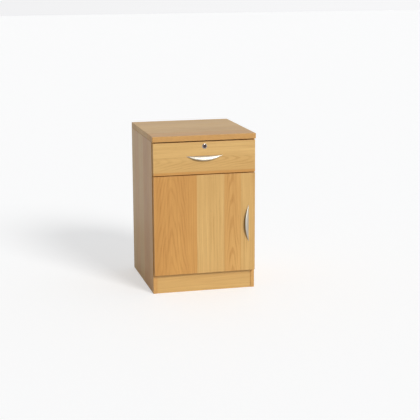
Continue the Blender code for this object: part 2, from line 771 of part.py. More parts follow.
def make_drawer(cabinet):
    drawer = new_empty("drawer", (0.0, FRONT_FACE, DRAWER_SIDE_BOTTOM), cabinet)
    front = make_drawer_box(drawer)
    for side, word in ((-1, "left"), (1, "right")):
        make_runner_parts(side, word, cabinet, drawer)
    feet = make_handle(
        "drawer_handle",
        (0.0, FRONT_FACE, DRAWER_HANDLE_Z),
        (math.radians(90), math.radians(180), 0.0),
        drawer,
        ("drawer_handle_screw_left", "drawer_handle_screw_right"),
    )
    centres = [(foot.x, (FRONT_FACE + FRONT_BACK) / 2, foot.z) for foot in feet]
    cut_holes(front, SCREW_HOLE, 0.030, centres, "X")
    make_lock(drawer)


# ---------------------------------------------------------------- door
def make_door(cabinet):
    door = new_empty("door", (PIN_X, PIN_Y, DOOR_HANDLE_Z), cabinet)
    panel = board(
        "door_panel",
        (-FRONT_HALF, FRONT_FACE, DOOR_BOTTOM),
        (FRONT_HALF, FRONT_BACK, DOOR_TOP),
        door,
        segments=2,
    )
    bore_depth = CUP_DEPTH
    for height, word in zip(HINGE_HEIGHTS, ("upper", "lower")):
        combine(panel, rod_mesh(CUP_RADIUS, 2 * bore_depth, 40), (CUP_X, FRONT_BACK, height), ALONG_Y)
        make_hinge_on_carcass(height, word, cabinet)
        make_hinge_on_door(height, word, door)
    feet = make_handle(
        "door_handle",
        (DOOR_HANDLE_X, FRONT_FACE, DOOR_HANDLE_Z),
        (math.radians(90), math.radians(-90), 0.0),
        door,
        ("door_handle_screw_upper", "door_handle_screw_lower"),
    )
    centres = [(foot.x, (FRONT_FACE + FRONT_BACK) / 2, foot.z) for foot in feet]
    cut_holes(panel, SCREW_HOLE, 0.030, centres, "X")
    return door


def main():
    cabinet = new_empty("cabinet", (0.0, 0.0, 0.0))
    make_carcass(cabinet)
    make_shelf(cabinet)
    make_lock_strike(cabinet)
    make_drawer(cabinet)
    door = make_door(cabinet)
    make_bumpers(door)


main()
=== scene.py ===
"""Looks for the bedside cabinet: oak laminate, satin nickel crescent handles, cam lock, hinges, runners."""

import math

import bmesh
import bpy
from mathutils import Euler, Matrix, Vector


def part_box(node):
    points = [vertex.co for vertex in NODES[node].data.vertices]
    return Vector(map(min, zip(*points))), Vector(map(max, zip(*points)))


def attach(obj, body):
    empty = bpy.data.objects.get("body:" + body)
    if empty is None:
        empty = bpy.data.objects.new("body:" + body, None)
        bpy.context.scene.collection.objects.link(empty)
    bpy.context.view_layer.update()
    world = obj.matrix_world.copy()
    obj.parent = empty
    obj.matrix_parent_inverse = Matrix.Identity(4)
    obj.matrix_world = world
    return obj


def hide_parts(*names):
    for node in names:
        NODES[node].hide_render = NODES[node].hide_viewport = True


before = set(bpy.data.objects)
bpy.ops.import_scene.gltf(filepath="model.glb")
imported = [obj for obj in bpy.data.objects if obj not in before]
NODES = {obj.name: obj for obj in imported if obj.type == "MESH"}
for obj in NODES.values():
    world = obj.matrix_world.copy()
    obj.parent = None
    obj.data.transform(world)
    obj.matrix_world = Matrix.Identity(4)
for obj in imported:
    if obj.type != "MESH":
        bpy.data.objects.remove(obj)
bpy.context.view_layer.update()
SCENE = bpy.context.scene
PIECES = bpy.data.collections.new("bedside_cabinet_visual")
SCENE.collection.children.link(PIECES)
X, Y, Z = range(3)
FULL_TURN = 6.2832  # radians


# ---------------------------------------------------------------- camera
def add_camera():
    """The photograph's view: from the front, a little to the left and above."""
    data = bpy.data.cameras.new("camera")
    data.sensor_width = 36.0
    data.lens = 97.90
    camera = bpy.data.objects.new("camera", data)
    camera.location = (-1.197, -5.1977, 1.4782)
    camera.rotation_euler = Euler([math.radians(a) for a in (77.881, 0.248, -13.918)])
    SCENE.collection.objects.link(camera)
    SCENE.camera = camera


# ---------------------------------------------------------------- node helpers
class Nodes:
    """Short names for building a node tree. A value given to them is a number, a colour or a socket."""

    def __init__(self, tree, shader="Principled BSDF"):
        self.tree = tree
        self.shader = tree.nodes[shader]

    def new(self, kind, **values):
        node = self.tree.nodes.new(kind)
        for key, value in values.items():
            setattr(node, key, value)
        return node

    def link(self, source, target):
        self.tree.links.new(source, target)

    def put(self, socket, value):
        if isinstance(value, bpy.types.NodeSocket):
            self.link(value, socket)
        else:
            socket.default_value = value

    def shade(self, **values):
        """Sets the shader's sockets; an underscore in a name stands for a space."""
        for name, value in values.items():
            self.put(self.shader.inputs[name.replace("_", " ")], value)

    def place(self, kind="Object"):
        return self.new("ShaderNodeTexCoord").outputs[kind]

    def axis(self, vector, axis):
        """One axis of a vector; axis is 0 to 2."""
        node = self.new("ShaderNodeSeparateXYZ")
        self.link(vector, node.inputs[0])
        return node.outputs[axis]

    def joined(self, *values):
        node = self.new("ShaderNodeCombineXYZ")
        for socket, value in zip(node.inputs, values):
            self.put(socket, value)
        return node.outputs[0]

    def scaled(self, vector, factors):
        node = self.new("ShaderNodeMapping")
        self.link(vector, node.inputs["Vector"])
        node.inputs["Scale"].default_value = factors
        return node.outputs["Vector"]

    def noise(self, vector, factors, detail, rough=0.5):
        """Noise from 0 to 1; factors are its cycles to the metre on each axis."""
        node = self.new("ShaderNodeTexNoise")
        self.link(self.scaled(vector, factors), node.inputs["Vector"])
        node.inputs["Scale"].default_value = 1.0
        node.inputs["Detail"].default_value = detail
        node.inputs["Roughness"].default_value = rough
        return node.outputs["Fac"]

    def math(self, operation, first, second=0.0, third=0.0, clamp=False):
        node = self.new("ShaderNodeMath", operation=operation, use_clamp=clamp)
        for socket, value in zip(node.inputs, (first, second, third)):
            self.put(socket, value)
        return node.outputs[0]

    def times(self, first, second):
        return self.math("MULTIPLY", first, second)

    def plus(self, base, value, amount, clamp=False):
        """base + value x amount"""
        return self.math("MULTIPLY_ADD", value, amount, base, clamp)

    def swing(self, base, value, amount, clamp=False):
        """base + (value - 0.5) x amount, so that noise moves the base both ways"""
        return self.plus(base, self.math("SUBTRACT", value, 0.5), amount, clamp)

    def wave(self, cycles, low):
        """Soft lines, one to each whole number of cycles; a higher low makes them thinner."""
        sine = self.math("SINE", self.times(cycles, FULL_TURN))
        return self.remap(sine, low, 1.0, smooth=True)

    def remap(self, value, low, high, to_low=0.0, to_high=1.0, smooth=False):
        node = self.new("ShaderNodeMapRange", clamp=True)
        node.interpolation_type = "SMOOTHSTEP" if smooth else "LINEAR"
        for socket, item in zip(node.inputs, (value, low, high, to_low, to_high)):
            self.put(socket, item)
        return node.outputs[0]

    def ramp(self, factor, stops, interpolation):
        node = self.new("ShaderNodeValToRGB")
        self.link(factor, node.inputs["Fac"])
        ramp = node.color_ramp
        ramp.interpolation = interpolation
        while len(ramp.elements) < len(stops):
            ramp.elements.new(0.5)
        for element, (place, colour) in zip(ramp.elements, stops):
            element.position = place
            element.color = (*colour, 1.0)
        return node.outputs["Color"]

    def mix(self, factor, first, second, blend="MIX"):
        node = self.new("ShaderNodeMix", data_type="RGBA", blend_type=blend)
        self.put(node.inputs["Factor"], factor)
        colours = [socket for socket in node.inputs if socket.type == "RGBA"]
        self.put(colours[0], first)
        self.put(colours[1], second)
        return next(socket for socket in node.outputs if socket.type == "RGBA")

    def bump(self, height, distance, strength):
        node = self.new("ShaderNodeBump")
        node.inputs["Strength"].default_value = strength
        node.inputs["Distance"].default_value = distance
        self.link(height, node.inputs["Height"])
        self.shade(Normal=node.outputs["Normal"])


def new_material(name):
    material = bpy.data.materials.new(name)
    material.use_nodes = True
    return material, Nodes(material.node_tree)


def srgb(*levels):
    """Linear colour from 8-bit sRGB levels."""
    out = []
    for level in levels:
        share = level / 255
        out.append(share / 12.92 if share <= 0.04045 else ((share + 0.055) / 1.055) ** 2.4)
    return tuple(out)


def tinted(colour, factors):
    return tuple(min(value * factor, 1.0) for value, factor in zip(colour, factors))


# ---------------------------------------------------------------- wood
DEEP = srgb(205, 150, 77)
MIDDLE = srgb(211, 161, 90)
PALE = srgb(213, 171, 103)
LIGHT = srgb(217, 176, 108)
FOIL = (0.66, 0.50, 0.31)
DARK_GRAIN = (0.80, 0.70, 0.57, 1.0)  # these two multiply the stave's colour
LIGHT_GRAIN = (1.12, 1.17, 1.27, 1.0)
PORE_BROWN = (0.20, 0.085, 0.022, 1.0)
JOINT_BROWN = (0.24, 0.10, 0.028, 1.0)
WORN_BROWN = (0.40, 0.20, 0.065, 1.0)
# painted shade: the brown that gaps and corners are darkened towards
CREVICE_SHADE_BROWN = (0.66, 0.27, 0.05, 1.0)
STAVE_MARGIN = 0.002  # past the board's edges, so that its edge faces fall inside the outer staves
STAVE_STEP = 0.618034  # spreads the staves' shifts
SHIFT_ALONG = 3.7  # the most that a stave's grain is shifted along the board, in metres
SHIFT_DEPTH = 0.9  # and into it
JOINT_HALF = 0.0007  # half a stave joint's width
WORN_REACH = 0.0030  # how far in from a board's edges the wear goes
ARCH_SLANT = -0.15  # a figure's lines along the grain, as a share of those across it
ARCH_ROUND = 0.00006  # rounds a figure's peak, in square metres
CREVICE_REACH = 0.010  # how near another surface has to be to count


def lay_staves(n, across, staves, low, high, seed):
    """Each stave's colour, and two numbers that give it a grain of its own."""
    share = n.remap(across, low, high)
    colours, shifts, start = [], [], 0.0
    for k, (end, colour) in enumerate(staves):
        colours.append((start, colour))
        shift = math.modf(STAVE_STEP * (k + 1) + seed)[0]
        shifts.append((start, (shift, math.modf(7.31 * shift)[0], 0.0)))
        start = min(max((end - low) / (high - low), 0.0), 1.0)
    base = n.ramp(share, colours, "CONSTANT")
    split = n.new("ShaderNodeSeparateColor")
    n.link(n.ramp(share, shifts, "CONSTANT"), split.inputs[0])
    return base, split.outputs[0], split.outputs[1]


def ring_lines(n, field, bent, along, cloud, broad, figure):
    """Growth rings: faint uneven lines, arched where a cathedral figure is."""
    lines = n.wave(n.plus(n.times(broad, 6.0), bent, 38.0), -0.2)
    lines = n.times(lines, n.remap(cloud, 0.35, 0.65, 0.15, 0.8))
    fading = n.remap(n.noise(field, (26.0, 5.0, 20.0), 2.0), 0.32, 0.68, 0.15, 1.15)
    for centre, half, peak, steepness in figure:
        off = n.math("SUBTRACT", bent, centre)
        round_top = n.math("SQRT", n.plus(ARCH_ROUND, off, off))
        rise = n.math("SUBTRACT", peak, along)
        arch = n.plus(n.times(rise, ARCH_SLANT * steepness), round_top, steepness)
        arch = n.wave(n.plus(n.plus(arch, broad, 1.6), cloud, 3.6), -0.1)
        inside = n.remap(n.math("ABSOLUTE", off), half, 0.55 * half, smooth=True)
        lines = n.times(lines, n.math("SUBTRACT", 1.0, inside))
        lines = n.plus(lines, arch, n.times(inside, fading))
    return lines


def stave_joints(n, across, staves):
    """Hairlines where two staves meet."""
    joints = 0.0
    for end, _ in staves[:-1]:
        away = n.math("ABSOLUTE", n.math("SUBTRACT", across, end))
        joints = n.math("MAXIMUM", joints, n.remap(away, JOINT_HALF, 0.0, smooth=True))
    return joints


def worn_edges(n, place, box):
    """The board's own edges, in patches, where handling has dulled the finish."""
    low, high = box
    thin = min(range(3), key=lambda axis: high[axis] - low[axis])
    edges = 0.0
    for axis in (k for k in range(3) if k != thin):
        centre, half = (low[axis] + high[axis]) / 2, (high[axis] - low[axis]) / 2
        reach = n.math("ABSOLUTE", n.math("SUBTRACT", n.axis(place, axis), centre))
        edges = n.math("MAXIMUM", edges, n.remap(reach, half - WORN_REACH, half - 0.0001, smooth=True))
    return n.times(edges, n.remap(n.noise(place, (60.0,) * 3, 3.0), 0.35, 0.75))


def crevice_shade(n):
    """Painted shade for gaps and corners: 1 deep in a gap or corner and 0 on open faces."""
    nearby = n.new("ShaderNodeAmbientOcclusion", samples=6)
    nearby.inputs["Distance"].default_value = CREVICE_REACH
    return n.remap(nearby.outputs["AO"], 0.55, 0.10, smooth=True)


def wood(name, grain, across, staves, box, figure, seed, contrast=1.0, rough=0.48, lacquer=0.08):
    """Oak laminate. grain and across are the axis numbers (0 to 2) that the fibres run along and that the
    staves stand side by side on. staves are (end along the across axis, colour) in order. figure lists
    cathedral figures as (centre across, half width, peak along, steepness). box is the board's corners."""
    material, n = new_material(name)
    place = n.place()
    side, along, depth = (n.axis(place, axis) for axis in (across, grain, 3 - grain - across))
    low, high = box[0][across] - STAVE_MARGIN, box[1][across] + STAVE_MARGIN
    base, shift_along, shift_depth = lay_staves(n, side, staves, low, high, seed)
    moved_along = n.plus(along, shift_along, SHIFT_ALONG)
    moved_depth = n.plus(depth, shift_depth, SHIFT_DEPTH)
    field = n.joined(side, moved_along, moved_depth)

    # A slow wander keeps the fibres from being ruler straight.
    bent = n.swing(side, n.noise(field, (7.0, 2.0, 7.0), 2.0), 0.030)
    lanes = n.joined(bent, moved_along, moved_depth)
    cloud = n.noise(field, (9.0, 3.0, 9.0), 2.0)
    broad = n.noise(lanes, (42.0, 0.8, 12.0), 2.0)
    streak = n.noise(lanes, (170.0, 2.0, 60.0), 3.0, 0.55)
    fibre = n.noise(lanes, (900.0, 14.0, 300.0), 2.0, 0.6)
    pore = n.noise(lanes, (1500.0, 55.0, 700.0), 1.0)
    lines = ring_lines(n, field, bent, along, cloud, broad, figure)

    dark = n.mix(1.0, base, DARK_GRAIN, "MULTIPLY")
    light = n.mix(1.0, base, LIGHT_GRAIN, "MULTIPLY")
    tone = n.swing(0.62, broad, 0.70 * contrast)
    tone = n.swing(tone, cloud, 0.80 * contrast)
    tone = n.swing(tone, streak, -0.75 * contrast)
    tone = n.plus(tone, lines, -0.38 * contrast)
    tone = n.swing(tone, fibre, 0.45 * contrast, clamp=True)
    pores = n.times(n.remap(pore, 0.36, 0.27, smooth=True), n.plus(0.35, lines, 0.5))
    worn = worn_edges(n, place, box)
    # The crevice mask is painted shade in gaps and corners, not dirt.
    dirt_and_crevice_shade = crevice_shade(n)
    colour = n.mix(tone, dark, light)
    # The last mark, in gaps and corners, is painted shade; the others are the wood's own pores, joints and
    # wear.
    for mask, share, brown in (
        (pores, 0.45, PORE_BROWN),
        (stave_joints(n, side, staves), 0.28, JOINT_BROWN),
        (worn, 0.25, WORN_BROWN),
        (dirt_and_crevice_shade, 0.8, CREVICE_SHADE_BROWN),
    ):
        colour = n.mix(n.times(mask, share), colour, brown)

    gloss = n.swing(rough, n.noise(place, (14.0,) * 3, 3.0), 0.14)
    gloss = n.plus(gloss, pores, 0.16)
    gloss = n.plus(gloss, worn, 0.12, clamp=True)
    # Gaps and corners also lose specular and lacquer, as part of the same painted shade.
    unshaded = n.math("SUBTRACT", 1.0, dirt_and_crevice_shade)
    n.shade(Base_Color=colour, Roughness=gloss, Specular_IOR_Level=n.times(unshaded, 0.5))
    n.shade(Coat_Weight=n.times(unshaded, lacquer), Coat_Roughness=0.30)
    n.bump(n.plus(n.times(fibre, 0.35), pores, -1.0), 0.00012, 0.55)
    return material


def corners(node):
    low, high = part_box(node)
    return (tuple(low), tuple(high))


def give(node, material):
    """A CAD node's material, in all its slots."""
    obj = NODES[node]
    if not obj.material_slots:
        obj.data.materials.append(material)
    for slot in obj.material_slots:
        slot.material = material


# ---------------------------------------------------------------- boards
DOOR_STAVES = [(-0.039, DEEP), (0.091, PALE), (0.169, MIDDLE), (0.24, PALE)]
DOOR_FIGURE = ((-0.150, 0.085, 0.48, 75.0), (0.132, 0.036, 0.30, 75.0))
DRAWER_STAVES = [(0.5650, DEEP), (0.6320, PALE), (0.71, LIGHT)]
DRAWER_FIGURE = ((0.6150, 0.050, 0.16, 110.0),)
TOP_STAVES = [(-0.140, MIDDLE), (-0.010, PALE), (0.135, LIGHT), (0.280, PALE)]
TOP_FIGURE = ((-0.080, 0.055, 0.20, 90.0),)
SIDE_STAVES = [(-0.1550, MIDDLE), (-0.0250, DEEP), (0.0850, PALE), (0.1850, MIDDLE), (0.28, PALE)]
SIDE_FIGURE = ((-0.090, 0.060, 0.60, 85.0), (0.135, 0.045, 0.66, 110.0))


def dress_boards():
    """The boards with an oak face."""
    give("door_panel", wood("oak_door", Z, X, DOOR_STAVES, corners("door_panel"), DOOR_FIGURE, 0.13))
    box = corners("drawer_front")
    give("drawer_front", wood("oak_drawer_front", X, Z, DRAWER_STAVES, box, DRAWER_FIGURE, 0.41, 0.8))
    box = corners("top_panel")
    give("top_panel", wood("oak_top", X, Y, TOP_STAVES, box, TOP_FIGURE, 0.72, 0.75, lacquer=0.22))
    for word, seed in (("left", 0.27), ("right", 0.58)):
        node = f"side_panel_{word}"
        oak = wood(f"oak_side_{word}", Z, Y, SIDE_STAVES, corners(node), SIDE_FIGURE, seed, 0.85, 0.42, 0.34)
        give(node, oak)
    for node, across, seed in (
        ("plinth_front", Z, 0.33),
        ("plinth_rear", Z, 0.91),
        ("bottom_panel", Y, 0.11),
        ("divider_panel", Y, 0.66),
        ("shelf", Y, 0.82),
    ):
        give(node, wood(f"oak_{node}", X, across, [(1.0, PALE)], corners(node), (), seed, 0.75))


def dress_inner_boards():
    """The boards faced with a foil: the same fibres, paler and flatter."""
    for node, grain, across, seed in (
        ("back_panel", Z, X, 0.21),
        ("drawer_bottom", Y, X, 0.37),
        ("drawer_back", X, Z, 0.53),
        ("drawer_side_left", Y, Z, 0.69),
        ("drawer_side_right", Y, Z, 0.85),
    ):
        give(node, wood(f"foil_{node}", grain, across, [(1.0, FOIL)], corners(node), (), seed, 0.45, 0.50))


# ---------------------------------------------------------------- metal and plastic
def metal(name, colour, rough, brushed=None, mottle=0.10, spangle=False):
    """Plated metal. brushed is the axis number that the fine scratches run along."""
    material, n = new_material(name)
    place = n.place()
    factors = [1600.0] * 3
    if brushed is not None:
        factors[brushed] = 30.0
    scratch = n.noise(place, factors, 2.0)
    cloud = n.noise(place, (90.0,) * 3, 3.0)
    if spangle:
        cells = n.new("ShaderNodeTexVoronoi")
        n.link(n.scaled(place, (260.0,) * 3), cells.inputs["Vector"])
        cloud = n.plus(n.times(cloud, 0.5), cells.outputs["Color"], 0.5)
    dull = (*tinted(colour, (0.80, 0.79, 0.77)), 1.0)
    bright = (*tinted(colour, (1.08, 1.08, 1.08)), 1.0)
    tone = n.swing(0.5, cloud, 2 * mottle, clamp=True)
    gloss = n.swing(n.swing(rough, scratch, 0.16), cloud, 0.12, clamp=True)
    n.shade(Base_Color=n.mix(tone, dull, bright), Roughness=gloss, Metallic=1.0)
    n.bump(scratch, 0.00003, 0.35)
    return material


def plastic(name, colour, rough, grain=500.0, dirt_and_crevice_shade=0.15):
    """Plastic, rubber or powder coat; soil is how much its patches darken it."""
    material, n = new_material(name)
    place = n.place()
    fine = n.noise(place, (grain,) * 3, 2.0)
    patch = n.remap(n.noise(place, (45.0,) * 3, 3.0), 0.35, 0.75)
    soiled = (*tinted(colour, (1 - dirt_and_crevice_shade, 1 - 1.1 * dirt_and_crevice_shade, 1 - 1.3 * dirt_and_crevice_shade)), 1.0)
    gloss = n.swing(rough, fine, 0.2, clamp=True)
    n.shade(Base_Color=n.mix(patch, (*colour, 1.0), soiled), Roughness=gloss)
    n.bump(fine, 0.00008, 0.4)
    return material


# ---------------------------------------------------------------- mesh helpers
def new_piece(name, mesh, materials, body):
    piece = bpy.data.objects.new(name, mesh)
    for material in materials:
        piece.data.materials.append(material)
    PIECES.objects.link(piece)
    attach(piece, body)
    return piece


def finished(bm, name, angle=35):
    """The mesh of bm, smooth but for edges sharper than the angle."""
    bmesh.ops.recalc_face_normals(bm, faces=bm.faces)
    mesh = bpy.data.meshes.new(name)
    bm.to_mesh(mesh)
    bm.free()
    mesh.shade_smooth()
    mesh.set_sharp_from_angle(angle=math.radians(angle))
    return mesh


def lathe(bm, profile, sides, matrix):
    """A turned solid about local Z from (radius, z) points; a radius of 0 closes an end."""
    angles = [2 * math.pi * k / sides for k in range(sides)]
    rings = []
    for radius, z in profile:
        points = [(radius * math.cos(a), radius * math.sin(a), z) for a in angles]
        if radius == 0:
            points = [(0, 0, z)]
        rings.append([bm.verts.new(matrix @ Vector(point)) for point in points])
    for first, second in zip(rings, rings[1:]):
        for k in range(sides):
            pairs = [(first, k), (first, k + 1), (second, k + 1), (second, k)]
            around = list(dict.fromkeys(ring[i % len(ring)] for ring, i in pairs))
            if len(around) > 2:
                bm.faces.new(around)


def facing(axis, place):
    """Local +Z turned to a world direction, at a place."""
    turn = Vector((0, 0, 1)).rotation_difference(Vector(axis)).to_matrix().to_4x4()
    return Matrix.Translation(place) @ turn


def block(bm, low, high, matrix):
    """A box between two corners, then moved by the matrix."""
    low, high = Vector(low), Vector(high)
    made = bmesh.ops.create_cube(bm, size=1.0)
    bmesh.ops.scale(bm, vec=high - low, verts=made["verts"])
    bmesh.ops.translate(bm, vec=(low + high) / 2, verts=made["verts"])
    bmesh.ops.transform(bm, matrix=matrix, verts=made["verts"])


# ---------------------------------------------------------------- handles
FRONT_FACE = corners("door_panel")[0][1]
GAP = 0.0003  # between a piece and the board behind it
HANDLE_LENGTH = 0.170
HANDLE_WIDTH = 0.0198  # at the middle, from the straight edge to the curved one
HANDLE_REACH = 0.0145  # from the board to the front of the curved edge, at its middle
HANDLE_SHEET = 0.0022
SHEET_SHARE = 0.42  # the most that the sheet takes of the section, near the tips
REACH_CURVE = 0.9  # how the reach falls with the width towards the tips; 1 would be in step
HANDLE_SLICES = 96
TIP_WIDTH = 0.0014
DOME_STEPS = 20
LIP_STEPS = 8
POST_AT = 0.048  # from the handle's middle
POST_SHARE = 0.58  # of the handle's width there, from its straight edge
POST = [(0.0, 0.0078), (0.0029, 0.0078), (0.0029, 0.0012), (0.0032, GAP), (0.0, GAP)]  # (radius, height)
DRAWER_HANDLE_Z = 0.6366
DOOR_HANDLE_X = 0.207
DOOR_HANDLE_Z = 0.313


def curved_edge(along):
    """How far the curved edge is from the straight one, at a place along the handle: a circle's arc."""
    half = HANDLE_LENGTH / 2
    radius = (half * half + HANDLE_WIDTH * HANDLE_WIDTH) / (2 * HANDLE_WIDTH)
    return max(math.sqrt(radius * radius - along * along) - (radius - HANDLE_WIDTH), TIP_WIDTH)


def handle_ring(along):
    """Cross-section of the shell, in order: a domed outside, a rounded lip and a hollow inside."""
    width = curved_edge(along)
    reach = HANDLE_REACH * (width / HANDLE_WIDTH) ** REACH_CURVE
    sheet = min(HANDLE_SHEET, SHEET_SHARE * min(width, reach))
    lip = width - 0.5 * sheet
    turns = [math.radians(90 * k / DOME_STEPS) for k in range(DOME_STEPS + 1)]
    ring = [(lip * (1 - math.cos(a)), GAP + (reach - GAP) * math.sin(a)) for a in turns]
    for k in range(1, LIP_STEPS):
        a = math.radians(90 - 180 * k / LIP_STEPS)
        ring.append((lip + 0.5 * sheet * math.cos(a), reach - 0.5 * sheet + 0.5 * sheet * math.sin(a)))
    deep = reach - sheet - GAP
    inside = [(sheet + (lip - sheet) * (1 - math.cos(a)), GAP + deep * math.sin(a)) for a in turns]
    return ring + inside[::-1]


def handle_mesh(name, place, turn):
    """A crescent shell: the straight edge on the board, the curved edge free, two posts behind it."""
    bm = bmesh.new()
    rings = []
    for i in range(HANDLE_SLICES + 1):
        along = -HANDLE_LENGTH / 2 * math.cos(math.pi * i / HANDLE_SLICES)
        rings.append([bm.verts.new((along, y, z)) for y, z in handle_ring(along)])
    for first, second in zip(rings, rings[1:]):
        for k in range(len(first)):
            j = (k + 1) % len(first)
            face = bm.faces.new((first[k], first[j], second[j], second[k]))
            # The hollow inside takes the second material, a painted shade.
            face.material_index = 1 if k >= DOME_STEPS + LIP_STEPS else 0
    bm.faces.new(rings[0])
    bm.faces.new(rings[-1])
    foot = POST_SHARE * curved_edge(POST_AT)
    for side in (-1, 1):
        lathe(bm, POST, 40, Matrix.Translation((side * POST_AT, foot, 0)))
    matrix = Matrix.LocRotScale(Vector(place), Euler(turn), None)
    bmesh.ops.transform(bm, matrix=matrix, verts=bm.verts)
    return finished(bm, name, 50)


def make_handles(nickel_x, nickel_z, shell_inside_shade):
    quarter, half_turn = math.radians(90), math.radians(180)
    mesh = handle_mesh("drawer_crescent", (0.0, FRONT_FACE, DRAWER_HANDLE_Z), (quarter, half_turn, 0.0))
    piece = new_piece("drawer_crescent", mesh, (nickel_x, shell_inside_shade), "drawer")
    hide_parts("drawer_handle")
    place = (DOOR_HANDLE_X, FRONT_FACE, DOOR_HANDLE_Z)
    mesh = handle_mesh("door_crescent", place, (quarter, -quarter, 0.0))
    piece = new_piece("door_crescent", mesh, (nickel_z, shell_inside_shade), "door")
    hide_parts("door_handle")


# ---------------------------------------------------------------- lock
LOCK_Z = 0.680
LOCK_PLACE = (0.0, FRONT_FACE, LOCK_Z)
LOCK_RADIUS = 0.0115
BARREL_RADIUS = 0.0080
BARREL_END = -0.0215
RING_BORE = 0.0058
DARK_RADIUS = 0.00845  # the ring's inner part, which takes the plug's dark colour, a painted dark reflection
PLUG_RADIUS = 0.00555
# Turned profiles as (radius, height in front of the board).
RING_STEP = [(RING_BORE, 0.0006), (0.0083, 0.0006), (0.0084, 0.0020)]
RING_ROUND = [(0.0088, 0.0021), (0.0097, 0.0019), (0.0108, 0.0014), (LOCK_RADIUS, 0.0009)]
RING_BACK = [(LOCK_RADIUS, GAP), (BARREL_RADIUS, GAP), (BARREL_RADIUS, BARREL_END), (RING_BORE, BARREL_END)]
PLUG_DISH = [(0.0, 0.00075), (0.0040, 0.00075), (0.0050, 0.00095), (0.0054, 0.00085), (PLUG_RADIUS, 0.0005)]
# The keyway's blocks are placed by a plane this far in front of the board. Each has a half width, a half
# height and how far it comes forward of that plane; both are sunk behind it.
KEYWAY_FRONT = 0.00082
KEYWAY_SUNK = 0.0003
KEYWAY_BLOCKS = ((0.00075, 0.0034, 0.00015), (0.00150, 0.0012, 0.00018))


def make_lock_ring(chrome, lock_face_dark_reflection):
    bm = bmesh.new()
    profile = RING_STEP + RING_ROUND + RING_BACK + RING_STEP[:1]
    lathe(bm, profile, 96, facing((0, -1, 0), LOCK_PLACE))
    for face in bm.faces:
        reach = max(math.hypot(v.co.x, v.co.z - LOCK_Z) for v in face.verts)
        in_front = face.calc_center_median().y < FRONT_FACE
        # The ring's inner face takes the plug's painted dark reflection.
        face.material_index = 1 if reach < DARK_RADIUS and in_front else 0
    mesh = finished(bm, "lock_face_ring", 30)
    piece = new_piece("lock_face_ring", mesh, (chrome, lock_face_dark_reflection), "drawer")
    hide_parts("lock_housing")


def make_lock_plug(lock_face_dark_reflection):
    bm = bmesh.new()
    rear = FRONT_FACE - corners("lock_plug")[1][1]
    profile = PLUG_DISH + [(PLUG_RADIUS, rear), (0.0, rear)]
    lathe(bm, profile, 96, facing((0, -1, 0), LOCK_PLACE))
    mesh = finished(bm, "lock_plug_face", 30)
    piece = new_piece("lock_plug_face", mesh, (lock_face_dark_reflection,), "lock")
    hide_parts("lock_plug")


def make_keyway(dark):
    """Two thin dark blocks, crossed, that lie in the plug's dish and stand for the keyway: painted shade in
    place of the slot.
    """
    bm = bmesh.new()
    matrix = Matrix.Translation((0.0, FRONT_FACE - KEYWAY_FRONT, LOCK_Z))
    for half_x, half_z, proud in KEYWAY_BLOCKS:
        block(bm, (-half_x, -proud, -half_z), (half_x, KEYWAY_SUNK, half_z), matrix)
    new_piece("lock_keyway", finished(bm, "lock_keyway", 30), (dark,), "lock")


# ---------------------------------------------------------------- screws
BACK_REAR = corners("back_panel")[1][1]
SIDE_IN = corners("side_panel_right")[0][0]
# Heads as (radius, height, whether the top is flat).
CUP_SCREW = (0.0034, 0.0011, True)
PLATE_SCREW = (0.0036, 0.0012, True)
ARM_SCREW = (0.0034, 0.0014, False)
RUNNER_SCREW = (0.0032, 0.0005, True)
BACK_PIN = (0.0022, 0.0006, True)
CUP_SCREW_X = -0.2075
RUNNER_SCREW_Z = 0.5745
RUNNER_FACE = 0.0015  # from the side panel to the cabinet runner's face
LEDGE_SCREWS = 0.0184  # from the side panel to the screws under the drawer side
PIN_ROWS = (0.0995, 0.5490)  # heights of the back panel's two rows of pins
PIN_START, PIN_STEP, PIN_COUNT = -0.190, 0.076, 6
RECESS_DEPTH = 0.00016


def screw(bm_head, bm_recess_shade, place, axis, radius, height, flat):
    """A screw head on a face, its cross recess a thin dark cross laid on the head's top as painted shade;
    axis points out of the face.
    """
    matrix = facing(axis, place)
    if flat:
        profile = [(0.0, height), (0.8 * radius, height), (radius, 0.35 * height), (radius, 0.0), (0.0, 0.0)]
    else:
        profile = [(0.0, height), (0.45 * radius, 0.94 * height), (0.75 * radius, 0.74 * height)]
        profile += [(0.93 * radius, 0.42 * height), (radius, 0.0), (0.0, 0.0)]
    lathe(bm_head, profile, 28, matrix)
    arm, wide = 0.52 * radius, 0.13 * radius
    low, high = height - RECESS_DEPTH / 2, height + RECESS_DEPTH / 2
    for x, y in ((arm, wide), (wide, arm)):
        block(bm_recess_shade, (-x, -y, low), (x, y, high), matrix)


def hinge_screws(door, cabinet):
    """Two screws in each cup, each plate and each arm."""
    for word in ("upper", "lower"):
        low, high = corners(f"hinge_cup_{word}")
        z = (low[2] + high[2]) / 2
        for offset in (-0.024, 0.024):
            door.append(((CUP_SCREW_X, high[1] - 0.0001, z + offset), (0, 1, 0), *CUP_SCREW))
        low, high = corners(f"hinge_plate_{word}")
        y = (low[1] + high[1]) / 2
        for offset in (-0.016, 0.016):
            cabinet.append(((high[0], y, z + offset), (1, 0, 0), *PLATE_SCREW))
        high = corners(f"hinge_arm_{word}")[1]
        for offset in (-0.008, 0.009):
            cabinet.append(((high[0], y + offset, z), (1, 0, 0), *ARM_SCREW))


def runner_screws(drawer, cabinet):
    """Four screws in each cabinet runner, and three from below in each drawer runner."""
    for side, word in ((-1, "left"), (1, "right")):
        low, high = corners(f"runner_cabinet_{word}")
        x = side * (SIDE_IN - RUNNER_FACE)
        for y in (low[1] + 0.037, low[1] + 0.165, low[1] + 0.293, high[1] - 0.030):
            cabinet.append(((x, y, RUNNER_SCREW_Z), (-side, 0, 0), *RUNNER_SCREW))
        low, high = corners(f"runner_drawer_{word}")
        x = side * (SIDE_IN - LEDGE_SCREWS)
        for y in (low[1] + 0.040, low[1] + 0.224, high[1] - 0.050):
            drawer.append(((x, y, low[2]), (0, 0, -1), *RUNNER_SCREW))


